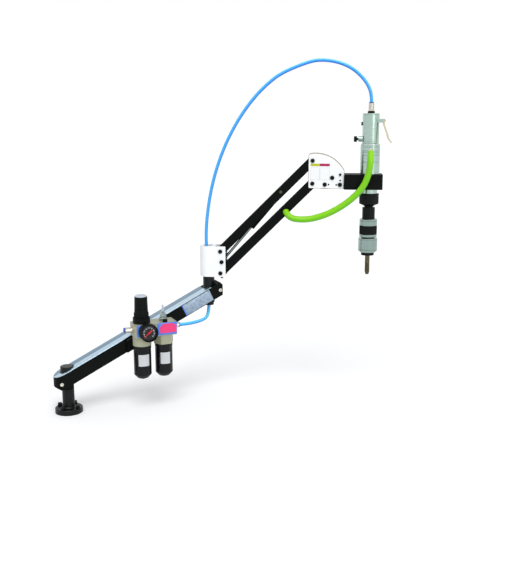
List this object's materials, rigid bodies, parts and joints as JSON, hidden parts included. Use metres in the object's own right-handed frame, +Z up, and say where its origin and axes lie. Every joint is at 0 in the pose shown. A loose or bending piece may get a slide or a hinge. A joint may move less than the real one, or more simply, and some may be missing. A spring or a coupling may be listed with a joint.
{
  "type": "arm tapping machine",
  "caption": "Bench-mounted swivelling two-arm stand with a parallelogram arm and gas spring, carrying a pneumatic tapping motor with an air preparation unit.",
  "frame": {"origin": "centre of the base flange's underside, where the machine is bolted down", "axes": "+Z up along the column, +X the way the first arm points, -Y the side that carries the air preparation unit"},
  "size_m": [0.7632, 0.2635, 0.8251],
  "materials": {
    "black_paint": "satin",
    "white_paint": "satin",
    "bare_aluminium": "brushed",
    "motor_aluminium": "satin",
    "die_cast": "cast",
    "black_steel": "black oxide",
    "bright_steel": "ground",
    "nickel": "nickel plated",
    "bronze": "sintered bronze",
    "black_plastic": "moulded",
    "bowl_guard": "moulded",
    "clear_plastic": "clear",
    "dial_black": "printed",
    "pointer_red": "painted",
    "white_plastic": "porous",
    "blue_hose": "extruded polyurethane",
    "green_hose": "extruded plastic"
  },
  "bodies": {
    "base": {"base_flange": "black_paint", "base_column": "black_paint", "base_bolts": "black_steel", "column_cap": "black_paint"},
    "lower_arm": {"base_hub": "black_paint", "column_bushes": "bronze", "pinch_bolts": "nickel", "lower_arm_beam": "black_paint", "beam_top_strip": "bare_aluminium", "elbow_block": "black_paint", "elbow_post": "black_paint", "unit_bracket": "black_paint", "regulator_body": "die_cast", "regulator_bonnet": "black_plastic", "filter_bowl": "bowl_guard", "unit_inserts": "white_plastic", "lubricator_body": "die_cast", "lubricator_bowl": "bowl_guard", "sight_dome": "clear_plastic", "oil_plug": "black_plastic", "gauge_case": "black_plastic", "gauge_dial": "dial_black", "gauge_lens": "clear_plastic", "push_in_fittings": "nickel", "feed_hose": "blue_hose"},
    "regulator_knob": {"regulator_knob": "black_plastic"},
    "gauge_needle": {"gauge_needle": "pointer_red"},
    "drip_screw": {"drip_screw": "nickel"},
    "drain_button": {"drain_button": "black_plastic"},
    "swivel": {"swivel_housing": "white_paint", "swivel_bushes": "bronze", "housing_bolts": "black_steel"},
    "lower_link": {"lower_bar": "black_paint", "lower_bar_bushes": "bronze", "hose_grommet": "black_plastic"},
    "upper_link": {"upper_bar": "black_paint", "upper_bar_fittings": "bright_steel"},
    "spring_cylinder": {"gas_spring_cylinder": "black_steel"},
    "spring_rod": {"gas_spring_rod": "bright_steel"},
    "head": {"head_plate_front": "white_paint", "head_plate_back": "white_paint", "head_bolts": "black_steel", "tool_block": "black_paint", "motor_body": "motor_aluminium", "motor_head": "motor_aluminium", "motor_fittings": "nickel", "lever_bracket": "bright_steel", "reverse_valve": "nickel", "nose_nut": "black_steel", "exhaust_hose": "green_hose"},
    "throttle_lever": {"throttle_lever": "bright_steel"},
    "reverse_button": {"reverse_button": "black_plastic"},
    "motor_rotor": {"motor_rotor": "bright_steel"},
    "spindle": {"spindle": "black_steel", "chuck_body": "bright_steel", "chuck_band": "black_steel", "tap": "bright_steel"},
    "chuck_collar": {"chuck_collar": "bright_steel"},
    "hose_arch": {"air_hose_arch": "blue_hose"},
    "hose_riser": {"air_hose_riser": "blue_hose"}
  },
  "joints": [
    {"name": "base_swing", "type": "hinge", "parent": "base", "child": "lower_arm", "pos_m": [0, 0, 0.07], "axis": [0, 0, 1], "range_deg": [-170, 170]},
    {"name": "elbow_swing", "type": "hinge", "parent": "lower_arm", "child": "swivel", "pos_m": [0.355, 0, 0.33], "axis": [0, 0, 1], "range_deg": [-90, 180]},
    {"name": "arm_lift", "type": "hinge", "parent": "swivel", "child": "lower_link", "pos_m": [0.38299, -0.01551, 0.3085], "axis": [-0.4848, -0.8746, 0], "range_deg": [-60, 6], "deforming": ["exhaust_hose", "air_hose_arch", "air_hose_riser"]},
    {"name": "head_level", "type": "hinge", "parent": "lower_link", "child": "head", "pos_m": [0.57538, -0.12216, 0.52694], "axis": [-0.4848, -0.8746, 0], "range_deg": [-16, 61]},
    {"name": "upper_bar_lift", "type": "hinge", "parent": "swivel", "child": "upper_link", "pos_m": [0.38299, -0.01551, 0.3618], "axis": [-0.4848, -0.8746, 0], "range_deg": [-61, 16]},
    {"name": "spring_turn", "type": "hinge", "parent": "upper_link", "child": "spring_cylinder", "pos_m": [0.51021, -0.08604, 0.50625], "axis": [-0.4848, -0.8746, 0], "range_deg": [-0.7, 2.5]},
    {"name": "spring_stroke", "type": "slide", "parent": "spring_cylinder", "child": "spring_rod", "axis": [-0.5617, 0.3114, -0.7665], "range_m": [-0.0245, 0.0065]},
    {"name": "hose_swing", "type": "hinge", "parent": "head", "child": "hose_arch", "pos_m": [0.69085, -0.18617, 0.735], "axis": [-0.4848, -0.8746, 0], "range_deg": [-49, 13]},
    {"name": "hose_follow", "type": "hinge", "parent": "hose_arch", "child": "hose_riser", "pos_m": [0.355, 0, 0.456], "axis": [-0.4848, -0.8746, 0], "range_deg": [-13, 49]},
    {"name": "lever_press", "type": "hinge", "parent": "head", "child": "throttle_lever", "pos_m": [0.7113, -0.20865, 0.672], "axis": [0.7547, 0.6561, 0], "range_deg": [0, 12], "stiffness_Nm_per_rad": 1, "springref_deg": -11.46},
    {"name": "reverse_press", "type": "slide", "parent": "head", "child": "reverse_button", "axis": [0.8746, -0.4848, 0], "range_m": [0, 0.003], "stiffness_N_per_m": 400, "springref_m": -0.002},
    {"name": "rotor_spin", "type": "hinge", "parent": "head", "child": "motor_rotor", "pos_m": [0.6926, -0.18714, 0.585], "axis": [0, 0, 1], "continuous": true},
    {"name": "spindle_spin", "type": "hinge", "parent": "head", "child": "spindle", "pos_m": [0.6926, -0.18714, 0.45], "axis": [0, 0, 1], "continuous": true},
    {"name": "collar_slide", "type": "slide", "parent": "spindle", "child": "chuck_collar", "axis": [0, 0, -1], "range_m": [0, 0.005], "stiffness_N_per_m": 1000, "springref_m": -0.006},
    {"name": "knob_turn", "type": "hinge", "parent": "lower_arm", "child": "regulator_knob", "pos_m": [0.165, -0.06, 0.24], "axis": [0, 0, 1], "continuous": true},
    {"name": "needle_turn", "type": "hinge", "parent": "lower_arm", "child": "gauge_needle", "pos_m": [0.171, -0.1, 0.197], "axis": [0, -1, 0], "range_deg": [-140, 130]},
    {"name": "drip_turn", "type": "hinge", "parent": "lower_arm", "child": "drip_screw", "pos_m": [0.217, -0.06, 0.24], "axis": [0, 0, 1], "continuous": true},
    {"name": "drain_push", "type": "slide", "parent": "lower_arm", "child": "drain_button", "axis": [0, 0, 1], "range_m": [0, 0.002], "stiffness_N_per_m": 300, "springref_m": -0.001}
  ],
  "couplings": [
    {"joint": "head_level", "follows": "arm_lift", "ratio": -1},
    {"joint": "upper_bar_lift", "follows": "arm_lift", "ratio": 1},
    {"joint": "spring_turn", "follows": "arm_lift", "ratio": -0.04},
    {"joint": "spring_stroke", "follows": "arm_lift", "m_per_rad": 0.0229},
    {"joint": "hose_swing", "follows": "arm_lift", "ratio": 0.8},
    {"joint": "hose_follow", "follows": "arm_lift", "ratio": -0.8},
    {"joint": "rotor_spin", "follows": "spindle_spin", "ratio": 9}
  ]
}
